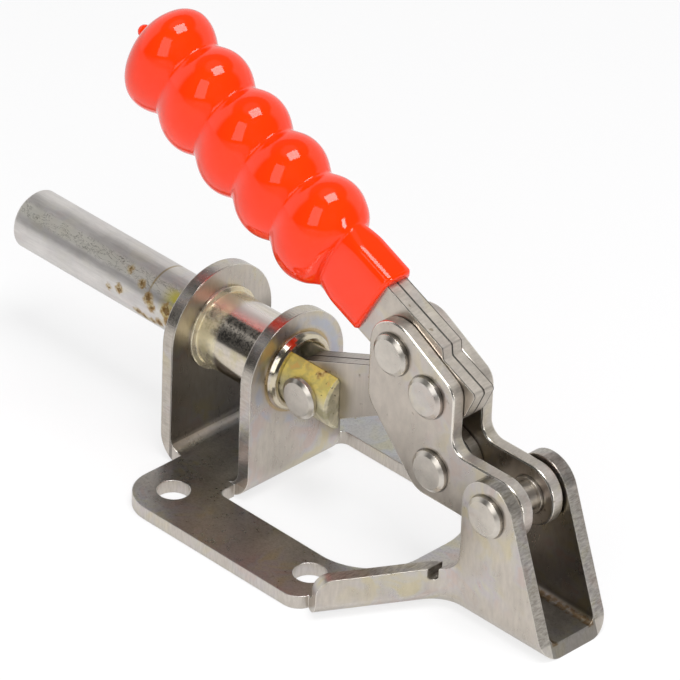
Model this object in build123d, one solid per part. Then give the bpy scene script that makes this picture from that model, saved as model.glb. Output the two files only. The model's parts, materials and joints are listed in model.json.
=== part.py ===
"""Push-pull toggle clamp: stamped flanged base, guided plunger, toggle link and gripped handle.

Millimetres. +X is the way the plunger pushes, +Z is up, and the base stands on Z = 0.
The origin is the centre of the four base holes, on the underside.
The clamp is modelled closed, with the plunger out and the three pivots in line.
"""
from build123d import *
import os
from math import cos, sin, radians

# ---- driving dimensions ----
SHEET = 2.8            # base sheet thickness
FLANGE_HALF_W = 31.2   # half width of the flange
FLANGE_FRONT = 27.0    # X where the flange stops and the front ear starts to bend
HOLE_X, HOLE_Y = 19.15, 22.8   # base holes from the origin
HOLE_R = 3.35
HOLE_CORNER_R = 8.2    # flange corner round the front holes
OPEN_HALF_W = 17.0     # half width of the central opening
OPEN_REAR = -29.5
OPEN_FRONT = 12.6

AXIS_Z = 25.9          # height of the plunger axis
EAR_FRONT_X = 30.0     # rear face of the front ear
EAR_REAR_X = 8.9       # rear face of the rear ear
EAR_FRONT_R = 13.4
EAR_REAR_R = 12.6
EAR_BEND = 3.0         # inner radius of the ear bends
BUSH_R = 8.0
BUSH_REAR_LIP, BUSH_FRONT_LIP = 1.7, 0.8
BORE_R = 6.40
PLUNGER_R = 6.35
PLUNGER_TIP = 84.9
PLUNGER_END = -5.4
SLOT_END = 14.0        # front end of the slot in the plunger
THREAD_R = 3.4
THREAD_DEPTH = 20.0

WALL_TOP = 9.0         # height of the side walls
WALL_START = -12.3     # where a side wall's free end starts, along the wall
WALL_OFFSET = 40.2     # distance of the outer wall face from the origin, along its normal
PAN_BEND = 1.8         # inner radius of the side wall bends
BRACKET_HALF_W = 8.85
BRACKET_END = -68.2    # rear end of the bracket at the underside
BRACKET_SLOPE = 0.364  # X run of the rear edges per millimetre of height
BRACKET_R = 6.9
BRACKET_FRONT = -45.0

BASE_PIVOT = (-51.5, AXIS_Z)
LINK_PIVOT = (-33.4, AXIS_Z)
PLUNGER_PIVOT = (1.3, AXIS_Z)
UPPER_RIVET = (-21.9, 46.6)
LOWER_RIVET = (-31.4, 41.5)
PIN_R = 3.0
HEAD_R = 4.3
HEAD_T = 1.4
RUN = 0.05             # running clearance, each side
SPOT_Y = 6.25          # face under each head of the plunger pin
SPACER_R, SPACER_T = 3.8, 0.6     # washers on the base pin, inside the toggle plates

LINK_ELBOW = (-17.2, 34.9)     # middle of the bent link
LINK_FRONT_R, LINK_ELBOW_R, LINK_REAR_R = 6.3, 5.0, 6.3
# the pin's way out of the front eye, from the eye's centre
EYE_MOUTH = ((0, 0), (-1.5, -1.1), (-3.1, -2.9), (-4.2, -4.7),
             (-4.8, -7.0), (-4.4, -9.2), (0.6, -9.2), (0.6, -1.6))

PLATE = 2.9            # thickness of the toggle plates
BAR = 2.6              # thickness of the bars and the link plates
HANDLE_ANGLE = 24.0    # slope of the handle
BAR_LOW, BAR_HIGH = 45.4, 60.0
BAR_FAR = 72.0
GRIP_N = 53.5          # height of the grip axis in the sloped frame
GRIP_START, GRIP_TIP = 8.6, 81.6
GRIP_HALF_H, GRIP_HALF_W = 12.3, 8.9      # half sizes of a bulge at its crest
SLEEVE_HALF_H, SLEEVE_HALF_W, SLEEVE_CORNER = 8.8, 3.5, 1.6
SLEEVE_DROP = 0.4      # the sleeve's middle line is this much below the bulges'
MOUTH_SLANT = 5.2      # slant of the sleeve's mouth, degrees
NUB_R = 1.5            # small round nub at the tip
BULGES = 5
BULGE_START, BULGE_PITCH = 22.4, 11.65
BULGE_R = 7.0          # arc of a bulge along the handle
VALLEY = 2.1           # depth of the valleys between the bulges


def side_plate(sketch, y0, y1):
    """Extrude a sketch drawn in X and Z between two Y positions."""
    face = sketch.faces()[0]
    solid = extrude(Plane.XZ * face, amount=y1 - y0)       # Plane.XZ looks along -Y
    return Pos(0, y1, 0) * solid


def rounded(points, radii):
    """Closed polygon with its own radius at each corner."""
    edges = Polyline(*points, close=True)
    face = make_face(edges)
    for point, radius in zip(points, radii):
        if radius:
            corner = face.vertices().sort_by_distance(Vector(point[0], point[1], 0))[0]
            face = fillet(corner, radius)
    return face


def disc(centre, radius):
    return Pos(centre[0], centre[1]) * Circle(radius)


def pin_along_y(centre, radius, y0, y1):
    return Pos(centre[0], 0, centre[1]) * Rot(90, 0, 0) * Pos(0, 0, -y1) * Cylinder(
        radius, y1 - y0, align=(Align.CENTER, Align.CENTER, Align.MIN))


def headed_pin(centre, grip_half, head=HEAD_R):
    """Pin with a bevelled round head outside each face at +grip_half and -grip_half."""
    far = grip_half + HEAD_T
    profile = Polyline((0, -far), (head - 0.8, -far), (head, -far + 0.6), (head, -grip_half),
                       (PIN_R, -grip_half), (PIN_R, grip_half), (head, grip_half),
                       (head, far - 0.6), (head - 0.8, far), (0, far), close=True)
    body = revolve(Plane.XY * make_face(profile), Axis.Y)
    return Pos(centre[0], 0, centre[1]) * body


def sloped(u, n):
    """Point in X and Z from a distance along the handle and one across it."""
    a = radians(HANDLE_ANGLE)
    return (u * cos(a) - n * sin(a), u * sin(a) + n * cos(a))


def along_x(sketch, x0, x1):
    """Extrude a sketch drawn in Y and Z between two X positions."""
    return Pos(x0, 0, 0) * extrude(Plane.YZ * sketch.faces()[0], amount=x1 - x0)


# ---- base ----
def make_base():
    outer_bend = EAR_BEND + SHEET
    # flat flange, in plan
    flange = rounded(
        [(FLANGE_FRONT, -FLANGE_HALF_W), (FLANGE_FRONT, FLANGE_HALF_W), (-24.6, FLANGE_HALF_W),
         (-24.6, 27.0), (-36.0, 8.0), (-36.0, -8.0), (-24.6, -27.0), (-24.6, -FLANGE_HALF_W)],
        [HOLE_CORNER_R, HOLE_CORNER_R, 4.0, 0, 0, 0, 0, 4.0])
    plate = extrude(flange, amount=SHEET)

    # ears and their bends: one U profile along Y, trimmed to each ear's outline
    top = AXIS_Z + 20
    front_face, rear_face = EAR_FRONT_X + SHEET, EAR_REAR_X
    u_shape = rounded(
        [(rear_face, top), (rear_face, 0), (front_face, 0), (front_face, top),
         (EAR_FRONT_X, top), (EAR_FRONT_X, SHEET), (rear_face + SHEET, SHEET), (rear_face + SHEET, top)],
        [0, outer_bend, outer_bend, 0, 0, EAR_BEND, EAR_BEND, 0])
    ears = side_plate(u_shape, -20, 20)
    middle = (EAR_FRONT_X + rear_face) / 2

    def ear_outline(radius):
        return make_face(Polyline((-radius, -1), (radius, -1), (radius, AXIS_Z), (-radius, AXIS_Z),
                                  close=True)) + Pos(0, AXIS_Z) * Circle(radius)

    front = ears & along_x(ear_outline(EAR_FRONT_R), middle, 60)
    rear = ears & along_x(ear_outline(EAR_REAR_R), -5, middle)

    # rear pan: side walls that run in to the bracket
    nx, ny = -cos(radians(30)), sin(radians(30))
    outer = WALL_OFFSET

    def wall_x(y, offset):
        return (offset - ny * y) / nx

    def pan_plan(inset, concave):
        o, w = outer - inset, BRACKET_HALF_W - inset
        knee = wall_x(w, o)
        side = [(-12, 40), (wall_x(40, o), 40), (knee, w), (-90, w)]
        pts = side + [(x, -y) for x, y in reversed(side)]
        return rounded(pts, [0, 0, concave, 0, 0, concave, 0, 0])

    pan = extrude(pan_plan(0, 6.0), amount=45)
    pan = fillet(pan.faces().sort_by(Axis.Z)[0].edges().filter_by(
        lambda e: e.center().X < -20 and abs(e.center().Y) < 39 and e.center().X > -89), PAN_BEND + SHEET)
    pocket = extrude(Pos(0, 0, SHEET) * pan_plan(SHEET, 6.0 + SHEET), amount=45)
    pocket = fillet(pocket.faces().sort_by(Axis.Z)[0].edges().filter_by(
        lambda e: e.center().X < -20 and abs(e.center().Y) < 39 and e.center().X > -89), PAN_BEND)
    pan -= pocket
    # side view of the walls and bracket ears
    bx, bz = BASE_PIVOT
    profile = rounded(
        [(BRACKET_END, 0), (BRACKET_END + BRACKET_SLOPE * 32.9, 32.9), (BRACKET_FRONT, 32.9),
         (BRACKET_FRONT, WALL_TOP), (-10, WALL_TOP), (-10, 0)],
        [0, BRACKET_R - 0.2, BRACKET_R - 0.4, 4.8, 0, 0])
    pan &= side_plate(profile, -45, 45)
    # relief notch in each wall top, in front of the bracket ears
    notch = rounded([(-41.0, WALL_TOP + 1), (-41.0, WALL_TOP - 2.4), (-39.6, WALL_TOP - 2.4),
                     (-39.6, WALL_TOP + 1)], [0, 0.65, 0.65, 0])
    for y0 in (-14.5, 7.0):
        pan -= side_plate(notch, y0, y0 + 7.5)
    # free ends of the side walls, round at the top
    for sign in (1, -1):
        along = Vector(-ny, sign * nx, 0)
        frame = Plane(origin=(0, 0, 0), x_dir=along, z_dir=Vector(nx, sign * ny, 0) * sign)
        end = rounded([(WALL_START, -5), (30, -5), (30, WALL_TOP), (WALL_START, WALL_TOP)], [0, 0, 0, 3.4])
        cut = make_face(Polyline((-60, -6), (WALL_START + 6, -6), (WALL_START + 6, 30), (-60, 30), close=True)) - end
        pan -= extrude(frame * cut, amount=60, both=True) & (Pos(-30, sign * 30, 0) * Box(60, 50, 80))
    # central opening, with a tongue forward to the rear ear's bend
    opening = rounded(
        [(OPEN_REAR, -OPEN_HALF_W), (OPEN_FRONT, -OPEN_HALF_W), (OPEN_FRONT, OPEN_HALF_W),
         (OPEN_REAR, OPEN_HALF_W)], [13.0, 2.0, 2.0, 13.0])
    bend_end = rear_face + outer_bend
    tongue = Pos((bend_end + 5) / 2, 0) * Rectangle(bend_end - 5, 2 * EAR_REAR_R)
    cut = extrude(opening + tongue, amount=SHEET + 1.5)
    base = (plate + pan) - Pos(0, 0, -0.5) * cut + front + rear

    for x in (-HOLE_X, HOLE_X):
        for y in (-HOLE_Y, HOLE_Y):
            base -= Pos(x, y, 0) * Cylinder(HOLE_R, 20)
    base -= Pos(20, 0, AXIS_Z) * Rot(0, 90, 0) * Cylinder(BUSH_R, 60)
    base -= pin_along_y(BASE_PIVOT, PIN_R, -20, 20)
    return base


# ---- guide and plunger ----
def make_bush():
    rear, front = EAR_REAR_X, EAR_FRONT_X + SHEET
    rear_end, front_end = rear - BUSH_REAR_LIP, front + BUSH_FRONT_LIP
    profile = Polyline(
        (rear_end, BORE_R + 0.4), (rear_end, BUSH_R - 0.5), (rear_end + 0.5, BUSH_R), (rear - 0.3, BUSH_R + 0.35),
        (rear, BUSH_R + 0.35), (rear, BUSH_R), (EAR_FRONT_X - 1.0, BUSH_R), (EAR_FRONT_X - 0.6, BUSH_R + 0.9),
        (EAR_FRONT_X, BUSH_R + 0.9), (EAR_FRONT_X, BUSH_R), (front, BUSH_R), (front, BUSH_R + 0.35),
        (front + 0.3, BUSH_R + 0.35), (front_end, BUSH_R - 0.2), (front_end, BORE_R + 0.4),
        (front_end - 0.4, BORE_R), (rear_end + 0.4, BORE_R), close=True)
    return Pos(0, 0, AXIS_Z) * revolve(Plane.XY * make_face(profile), Axis.X)


def make_plunger():
    profile = Polyline(
        (PLUNGER_END, 0), (PLUNGER_END, PLUNGER_R - 0.5), (PLUNGER_END + 0.5, PLUNGER_R),
        (PLUNGER_TIP - 0.9, PLUNGER_R), (PLUNGER_TIP, PLUNGER_R - 0.9), (PLUNGER_TIP, THREAD_R + 0.7),
        (PLUNGER_TIP - 0.7, THREAD_R), (PLUNGER_TIP - THREAD_DEPTH, THREAD_R),
        (PLUNGER_TIP - THREAD_DEPTH - 2.0, 0), close=True)
    bar = Pos(0, 0, AXIS_Z) * revolve(Plane.XY * make_face(profile), Axis.X)
    slot = Box(SLOT_END - PLUNGER_END + 5, BAR * 2, 30, align=(Align.MAX, Align.CENTER, Align.CENTER))
    bar -= Pos(SLOT_END, 0, AXIS_Z) * slot
    bar -= pin_along_y(PLUNGER_PIVOT, PIN_R, -20, 20)
    for y in (SPOT_Y, -SPOT_Y - 10):
        bar -= pin_along_y(PLUNGER_PIVOT, HEAD_R + 0.1, y, y + 10)
    return bar


# ---- link ----
def capsule(a, ra, b, rb):
    """Bar with round ends of two radii."""
    return make_hull((disc(a, ra) + disc(b, rb)).edges())


def make_link():
    """One link plate. Its front eye is open below, so that the plunger pin can leave it."""
    plate = capsule(PLUNGER_PIVOT, LINK_FRONT_R, LINK_ELBOW, LINK_ELBOW_R) + capsule(
        LINK_ELBOW, LINK_ELBOW_R, LINK_PIVOT, LINK_REAR_R)
    plate -= disc(LINK_PIVOT, PIN_R + RUN)
    x, z = PLUNGER_PIVOT
    mouth = [disc((x + dx, z + dz), PIN_R + RUN) for dx, dz in EYE_MOUTH]
    plate -= make_hull((Sketch() + mouth).edges())
    return plate


# ---- lever ----
def toggle_sketch():
    x, y = BASE_PIVOT
    low = 19.4
    face = rounded(
        [(-15.7, 58.2), (-38.4, 45.5), (-38.4, y + 6.4), (x - 6.3, y + 6.4), (x - 6.3, low), (-29.2, low),
         (-15.7, 34.0)], [6.6, 4.0, 3.4, 6.2, 6.2, 5.6, 5.0])
    face -= disc(BASE_PIVOT, PIN_R + RUN)
    for centre in (LINK_PIVOT, UPPER_RIVET, LOWER_RIVET):
        face -= disc(centre, PIN_R)
    return face


def bar_sketch():
    corners = [(BAR_FAR, BAR_LOW), (BAR_FAR, BAR_HIGH), (-8.4, BAR_HIGH), (-9.6, BAR_HIGH - 2.0),
               (-19.4, BAR_HIGH - 2.0), (-19.4, BAR_LOW)]
    face = rounded([sloped(u, n) for u, n in corners], [3.0, 3.0, 0.6, 0.6, 1.0, 7.4])
    for centre in (UPPER_RIVET, LOWER_RIVET):
        face -= disc(centre, PIN_R)
    return face


def oval(u, depth):
    """Oval across the grip at u along the handle, smaller than a bulge's crest by depth all round."""
    plane = Plane(origin=(u, 0, 0), x_dir=(0, 1, 0), z_dir=(1, 0, 0))
    return plane * Ellipse(GRIP_HALF_W - depth, GRIP_HALF_H - depth)


def make_grip():
    """Solid grip round the bars: a flat sleeve that runs into round bulges with valleys between them."""
    sleeve_plane = Plane(origin=(GRIP_START - 2, 0, -SLEEVE_DROP), x_dir=(0, 1, 0), z_dir=(1, 0, 0))
    section = sleeve_plane * RectangleRounded(2 * SLEEVE_HALF_W, 2 * SLEEVE_HALF_H, SLEEVE_CORNER)
    sleeve = extrude(section, amount=BULGE_START + BULGE_PITCH / 2 - GRIP_START + 2)
    sleeve -= Pos(GRIP_START, 0, 0) * Rot(0, -MOUTH_SLANT, 0) * Box(
        20, 40, 60, align=(Align.MAX, Align.CENTER, Align.CENTER))

    half = BULGE_PITCH / 2
    shoulder = BULGE_R - (BULGE_R ** 2 - (half / 2) ** 2) ** 0.5     # depth of a bulge's arc, half way down it
    side = [(half / 2, shoulder), (half - 0.9, VALLEY - 0.3), (half, VALLEY)]
    to_sleeve = [(half / 2, shoulder), (half + 0.6, 1.25 * VALLEY), (half + 4.6, 2.5 * VALLEY)]
    to_tip = [(half / 2, shoulder), (half / 2 + 1.7, 3.0 * shoulder), (GRIP_TIP - BULGE_START - 9 * half, 5.3)]
    body = sleeve
    for i in range(BULGES):
        crest = BULGE_START + (2 * i + 1) * half
        rear = to_sleeve if i == 0 else side
        front = to_tip if i == BULGES - 1 else side
        stations = [(-u, depth) for u, depth in reversed(rear)] + [(0, 0)] + front
        body += loft([oval(crest + u, depth) for u, depth in stations])
    return body + Pos(GRIP_TIP - 0.3, 0, 0) * Rot(0, 90, 0) * Sphere(NUB_R)


def build():
    os.makedirs("parts", exist_ok=True)
    pieces = {}
    pieces["base"] = make_base()
    pieces["guide_bush"] = make_bush()
    pieces["plunger"] = make_plunger()
    link = make_link()
    toggle = toggle_sketch()
    bar = bar_sketch()
    pieces["link_plate_near"] = side_plate(link, 0, BAR - RUN)
    pieces["link_plate_far"] = side_plate(link, -BAR + RUN, 0)
    pieces["toggle_plate_near"] = side_plate(toggle, BAR, BAR + PLATE)
    pieces["toggle_plate_far"] = side_plate(toggle, -BAR - PLATE, -BAR)
    pieces["handle_bar_near"] = side_plate(bar, 0, BAR)
    pieces["handle_bar_far"] = side_plate(bar, -BAR, 0)
    pieces["plunger_pin"] = headed_pin(PLUNGER_PIVOT, SPOT_Y)
    pieces["link_pin"] = headed_pin(LINK_PIVOT, BAR + PLATE)
    pieces["base_pin"] = headed_pin(BASE_PIVOT, BRACKET_HALF_W)
    pieces["upper_rivet"] = headed_pin(UPPER_RIVET, BAR + PLATE)
    pieces["lower_rivet"] = headed_pin(LOWER_RIVET, BAR + PLATE)
    ring = disc(BASE_PIVOT, SPACER_R) - disc(BASE_PIVOT, PIN_R)
    pieces["spacer_near"] = side_plate(ring, BAR - RUN - SPACER_T, BAR - RUN)
    pieces["spacer_far"] = side_plate(ring, -BAR + RUN, -BAR + RUN + SPACER_T)
    grip = Rot(0, -HANDLE_ANGLE, 0) * Pos(0, 0, GRIP_N) * make_grip()
    room = side_plate(bar, -BAR, BAR)
    pieces["grip"] = grip - room
    for name, piece in pieces.items():
        export_step(piece, f"parts/{name}.step")
    return pieces


if __name__ == "__main__":
    for name, piece in build().items():
        b = piece.bounding_box()
        print(name, round(piece.volume, 1), piece.is_valid, len(piece.solids()),
              [round(v, 2) for v in (*b.min, *b.max)])
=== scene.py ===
"""Push-pull toggle clamp: finishes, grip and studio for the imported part, laid out as an add-on.

Metres, in the part's own frame: +X the way the plunger pushes, +Z up, the base on Z = 0.
"""
import json
from math import cos, pi, radians, sin

import bmesh
import bpy
from bpy.props import FloatProperty, FloatVectorProperty, IntProperty, PointerProperty
from mathutils import Matrix, Vector


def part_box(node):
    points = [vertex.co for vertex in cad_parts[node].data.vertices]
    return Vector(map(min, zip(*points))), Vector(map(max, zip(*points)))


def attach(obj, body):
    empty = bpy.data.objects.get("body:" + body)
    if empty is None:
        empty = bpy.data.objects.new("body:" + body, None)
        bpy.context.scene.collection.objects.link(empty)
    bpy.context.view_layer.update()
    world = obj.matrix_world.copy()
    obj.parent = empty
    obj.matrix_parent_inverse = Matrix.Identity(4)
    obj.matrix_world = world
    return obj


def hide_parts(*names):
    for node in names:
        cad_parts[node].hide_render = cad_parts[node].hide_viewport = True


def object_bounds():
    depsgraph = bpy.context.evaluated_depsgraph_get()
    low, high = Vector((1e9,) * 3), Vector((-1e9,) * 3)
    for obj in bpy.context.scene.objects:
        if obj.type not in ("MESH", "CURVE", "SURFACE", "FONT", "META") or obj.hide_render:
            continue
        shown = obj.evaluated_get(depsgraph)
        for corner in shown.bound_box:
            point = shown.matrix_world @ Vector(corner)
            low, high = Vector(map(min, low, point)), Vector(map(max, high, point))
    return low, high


bl_info = {
    "name": "Toggle Clamp",
    "version": (1, 0, 0),
    "blender": (4, 5, 0),
    "location": "View3D > Sidebar > Toggle Clamp",
    "description": "Finishes, grip and studio for a push-pull toggle clamp",
    "category": "Object",
}

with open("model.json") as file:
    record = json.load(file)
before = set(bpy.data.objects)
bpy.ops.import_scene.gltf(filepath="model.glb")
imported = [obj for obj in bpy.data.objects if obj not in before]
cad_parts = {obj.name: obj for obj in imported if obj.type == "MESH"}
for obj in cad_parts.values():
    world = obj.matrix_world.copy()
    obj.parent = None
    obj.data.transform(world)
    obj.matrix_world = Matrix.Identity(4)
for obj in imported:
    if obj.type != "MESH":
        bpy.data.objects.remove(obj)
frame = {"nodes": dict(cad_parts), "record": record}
CAD_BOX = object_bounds()
NODES = frame["nodes"]
BODY_OF = {node: body for body, members in frame["record"]["behaviour"]["bodies"].items()
           for node in members}
MM = 0.001


def middle(node):
    """Middle of a node's box."""
    low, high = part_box(node)
    return (low + high) / 2


BUSH = middle("guide_bush")
PLUNGER_PIN = middle("plunger_pin")
BASE_PIN = middle("base_pin")


# ---- node trees

class Tree:
    """Adds nodes to a node tree and links them by socket."""

    def __init__(self, tree):
        self.tree = tree

    def feed(self, socket, value):
        """Links a socket or number to an input, or sets the input to a constant."""
        if isinstance(value, Num):
            value = value.socket
        if isinstance(value, bpy.types.NodeSocket):
            self.tree.links.new(value, socket)
        else:
            socket.default_value = value

    def add(self, kind, inputs=None, **settings):
        """New node with its settings, and its inputs fed by name."""
        node = self.tree.nodes.new(kind)
        for name, value in settings.items():
            setattr(node, name, value)
        for name, value in (inputs or {}).items():
            self.feed(node.inputs[name], value)
        return node

    def math(self, operation, *values):
        """Number that a Math node makes of others."""
        node = self.add("ShaderNodeMath", operation=operation)
        for socket, value in zip(node.inputs, values):
            self.feed(socket, value)
        return Num(self, node.outputs[0])

    def absolute(self, value):
        return self.math("ABSOLUTE", value)

    def vector_math(self, operation, *values):
        """Socket of a vector operation: a number for a distance or a dot product, else a vector."""
        node = self.add("ShaderNodeVectorMath", operation=operation)
        for socket, value in zip(node.inputs, values):
            self.feed(socket, value)
        return node.outputs["Value" if operation in ("DISTANCE", "DOT_PRODUCT") else "Vector"]

    def num(self, socket):
        """Socket that arithmetic works on."""
        return Num(self, socket)

    def smooth(self, value, low, high, to_low=0.0, to_high=1.0):
        """Smooth step of a number from one range to another."""
        node = self.add("ShaderNodeMapRange", interpolation_type="SMOOTHSTEP", inputs={
            "Value": value, "From Min": low, "From Max": high, "To Min": to_low, "To Max": to_high})
        return Num(self, node.outputs["Result"])

    def fall(self, value, low, high):
        """1 below a range of a number, falling smoothly to 0 above it."""
        return self.smooth(value, low, high, 1.0, 0.0)

    def pick(self, factor, low, high):
        """Number that goes from low to high as factor goes from 0 to 1."""
        return low + (high - low) * factor

    def mix(self, factor, low, high, blend="MIX"):
        """Colour that goes from low to high as factor goes from 0 to 1."""
        node = self.add("ShaderNodeMix", data_type="RGBA", blend_type=blend, clamp_factor=True)
        self.feed(node.inputs[0], factor)
        self.feed(node.inputs[6], low)
        self.feed(node.inputs[7], high)
        return node.outputs[2]

    def noise(self, vector, scale, detail=2.0, roughness=0.5, distortion=0.0):
        node = self.add("ShaderNodeTexNoise", inputs={
            "Vector": vector, "Scale": scale, "Detail": detail, "Roughness": roughness,
            "Distortion": distortion})
        return Num(self, node.outputs["Fac"])

    def stretched(self, vector, scale, turn=(0, 0, 0)):
        """Coordinates turned and scaled, so that a noise on them comes out drawn out."""
        node = self.add("ShaderNodeMapping", inputs={"Vector": vector, "Rotation": turn, "Scale": scale})
        return node.outputs["Vector"]

    def parts(self, vector):
        """The three parts of a vector as numbers."""
        node = self.add("ShaderNodeSeparateXYZ", inputs={"Vector": vector})
        return [Num(self, node.outputs[i]) for i in range(3)]

    def band(self, value, low, high, soft):
        """1 between two values, falling to 0 over a soft edge at each."""
        return self.smooth(value, low - soft, low) * self.fall(value, high, high + soft)

    def from_axis(self, place, centre, axis):
        """Distance from a line through a centre along X or Y."""
        across = Vector((0, 1, 1) if axis == "X" else (1, 0, 1))
        flat = self.vector_math("MULTIPLY", place, across)
        return Num(self, self.vector_math("DISTANCE", flat, centre * across))

    def facing(self, normal, direction):
        """How far a normal faces a direction, from -1 to 1."""
        return Num(self, self.vector_math("DOT_PRODUCT", normal, Vector(direction).normalized()))

    def ball(self, place, centre, radius, soft):
        """1 inside a round region, falling to 0 over its soft edge."""
        return self.fall(self.vector_math("DISTANCE", place, centre), radius, radius + soft)


class Num:
    """Number in a node tree. Arithmetic on it adds Math nodes."""

    def __init__(self, tree, socket):
        self.tree, self.socket = tree, socket

    def __add__(self, other):
        return self.tree.math("ADD", self, other)

    __radd__ = __add__

    def __sub__(self, other):
        return self.tree.math("SUBTRACT", self, other)

    def __rsub__(self, other):
        return self.tree.math("SUBTRACT", other, self)

    def __mul__(self, other):
        return self.tree.math("MULTIPLY", self, other)

    __rmul__ = __mul__

    def __truediv__(self, other):
        return self.tree.math("DIVIDE", self, other)

    def __pow__(self, other):
        return self.tree.math("POWER", self, other)


def group_tree(name, kind, inputs, outputs):
    """New node group with named sockets. Each input is a name, a type and a default."""
    group = bpy.data.node_groups.new(name, kind)
    for label, socket_type, default in inputs:
        socket = group.interface.new_socket(name=label, in_out="INPUT", socket_type=socket_type)
        if default is not None:
            socket.default_value = default
    for label, socket_type in outputs:
        group.interface.new_socket(name=label, in_out="OUTPUT", socket_type=socket_type)
    tree = Tree(group)
    given = tree.add("NodeGroupInput").outputs
    result = tree.add("NodeGroupOutput").inputs
    return group, tree, given, result


# ---- shared effects

def make_grain_group():
    """Fine directional grain and small pits of a plated surface."""
    group, tree, given, result = group_tree(
        "plated_grain", "ShaderNodeTree",
        [("Vector", "NodeSocketVector", None), ("Stretch", "NodeSocketVector", (1.0, 1.0, 1.0)),
         ("Grain", "NodeSocketFloat", 0.5), ("Pits", "NodeSocketFloat", 0.3)],
        [("Height", "NodeSocketFloat"), ("Value", "NodeSocketFloat"), ("Cloud", "NodeSocketFloat")])
    scaled = tree.vector_math("MULTIPLY", given["Vector"], given["Stretch"])
    grain = tree.noise(scaled, 1.0, 3.0, 0.65)
    speck = tree.noise(given["Vector"], 2600.0, 1.0, 0.5)
    pits = tree.smooth(speck, 0.66, 0.74) * given["Pits"]
    cloud = tree.noise(given["Vector"], 130.0, 3.0, 0.6)
    tree.feed(result["Height"], (grain - 0.5) * given["Grain"] - pits)
    tree.feed(result["Value"], grain)
    tree.feed(result["Cloud"], cloud)
    return group


def make_edge_group():
    """Rounded normal for a sheared or turned edge, and a mask of that edge."""
    group, tree, given, result = group_tree(
        "rounded_edge", "ShaderNodeTree",
        [("Radius", "NodeSocketFloat", 0.3 * MM)],
        [("Normal", "NodeSocketVector"), ("Edge", "NodeSocketFloat")])
    bevel = tree.add("ShaderNodeBevel", samples=6, inputs={"Radius": given["Radius"]})
    true = tree.add("ShaderNodeNewGeometry").outputs["Normal"]
    agreement = tree.num(tree.vector_math("DOT_PRODUCT", bevel.outputs["Normal"], true))
    tree.feed(result["Normal"], bevel.outputs["Normal"])
    tree.feed(result["Edge"], tree.smooth(1.0 - agreement, 0.01, 0.12))
    return group


def make_sheared_group():
    """Streaked grain of a cut edge."""
    group, tree, given, result = group_tree(
        "sheared_grain", "ShaderNodeTree",
        [("Vector", "NodeSocketVector", None), ("Stretch", "NodeSocketVector", (1.0, 1.0, 1.0))],
        [("Value", "NodeSocketFloat")])
    scaled = tree.vector_math("MULTIPLY", given["Vector"], given["Stretch"])
    fine = tree.noise(scaled, 1.0, 4.0, 0.7)
    tree.feed(result["Value"], tree.smooth(fine, 0.3, 0.72))
    return group


def make_stain_group():
    """Heat and pickling stains: patches that run from rose and violet to straw."""
    group, tree, given, result = group_tree(
        "plating_stain", "ShaderNodeTree",
        [("Vector", "NodeSocketVector", None), ("Base", "NodeSocketColor", (0.6, 0.57, 0.53, 1)),
         ("Amount", "NodeSocketFloat", 0.3)], [("Color", "NodeSocketColor")])
    patch = tree.noise(given["Vector"], 160.0, 3.0, 0.55, 0.6)
    ramp = tree.add("ShaderNodeValToRGB", inputs={"Fac": patch})
    rose, violet = (0.60, 0.46, 0.44, 1), (0.56, 0.53, 0.58, 1)
    pale, straw = (0.62, 0.60, 0.52, 1), (0.66, 0.58, 0.34, 1)
    stops = ramp.color_ramp.elements
    stops[0].position, stops[0].color = 0.40, rose
    stops[1].position, stops[1].color = 0.62, straw
    for position, colour in ((0.47, violet), (0.55, pale)):
        stops.new(position).color = colour
    mask = tree.smooth(tree.noise(given["Vector"], 90.0), 0.42, 0.62) * given["Amount"]
    tree.feed(result["Color"], tree.mix(mask, given["Base"], ramp.outputs["Color"]))
    return group


def new_object(name, data):
    """Object put in the scene at the origin."""
    made = bpy.data.objects.new(name, data)
    bpy.context.scene.collection.objects.link(made)
    return made


def place(group, tree, **inputs):
    """Shared effect placed in a material, fed by its named inputs."""
    node = tree.add("ShaderNodeGroup", node_tree=bpy.data.node_groups[group])
    for name, value in inputs.items():
        tree.feed(node.inputs[name], value)
    return node.outputs


def new_material(name):
    """Material with a lone Principled shader, its node tree and its Object coordinates."""
    material = bpy.data.materials.new(name)
    material.use_nodes = True
    tree = Tree(material.node_tree)
    shader = material.node_tree.nodes["Principled BSDF"]
    coords = tree.add("ShaderNodeTexCoord").outputs["Object"]
    return material, tree, shader, coords


# noise scales of a cut edge whose streaks run through the sheet along each axis
SHEAR_STRETCH = {"X": (420.0, 2600.0, 2600.0), "Y": (2600.0, 700.0, 2600.0), "Z": (2600.0, 2600.0, 420.0)}
SEAMS = (0.0, 2.6 * MM)         # distance from the middle plane of each pair of touching faces
# colour of the painted highlight line along a plate's rolled edge
EDGE_HIGHLIGHT = (0.93, 0.89, 0.81)
GRAIN_DARK = (0.12, 0.11, 0.10)
PITS = 0.25
LEAST_ROUGH, MOST_ROUGH = 0.08, 0.8


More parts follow.
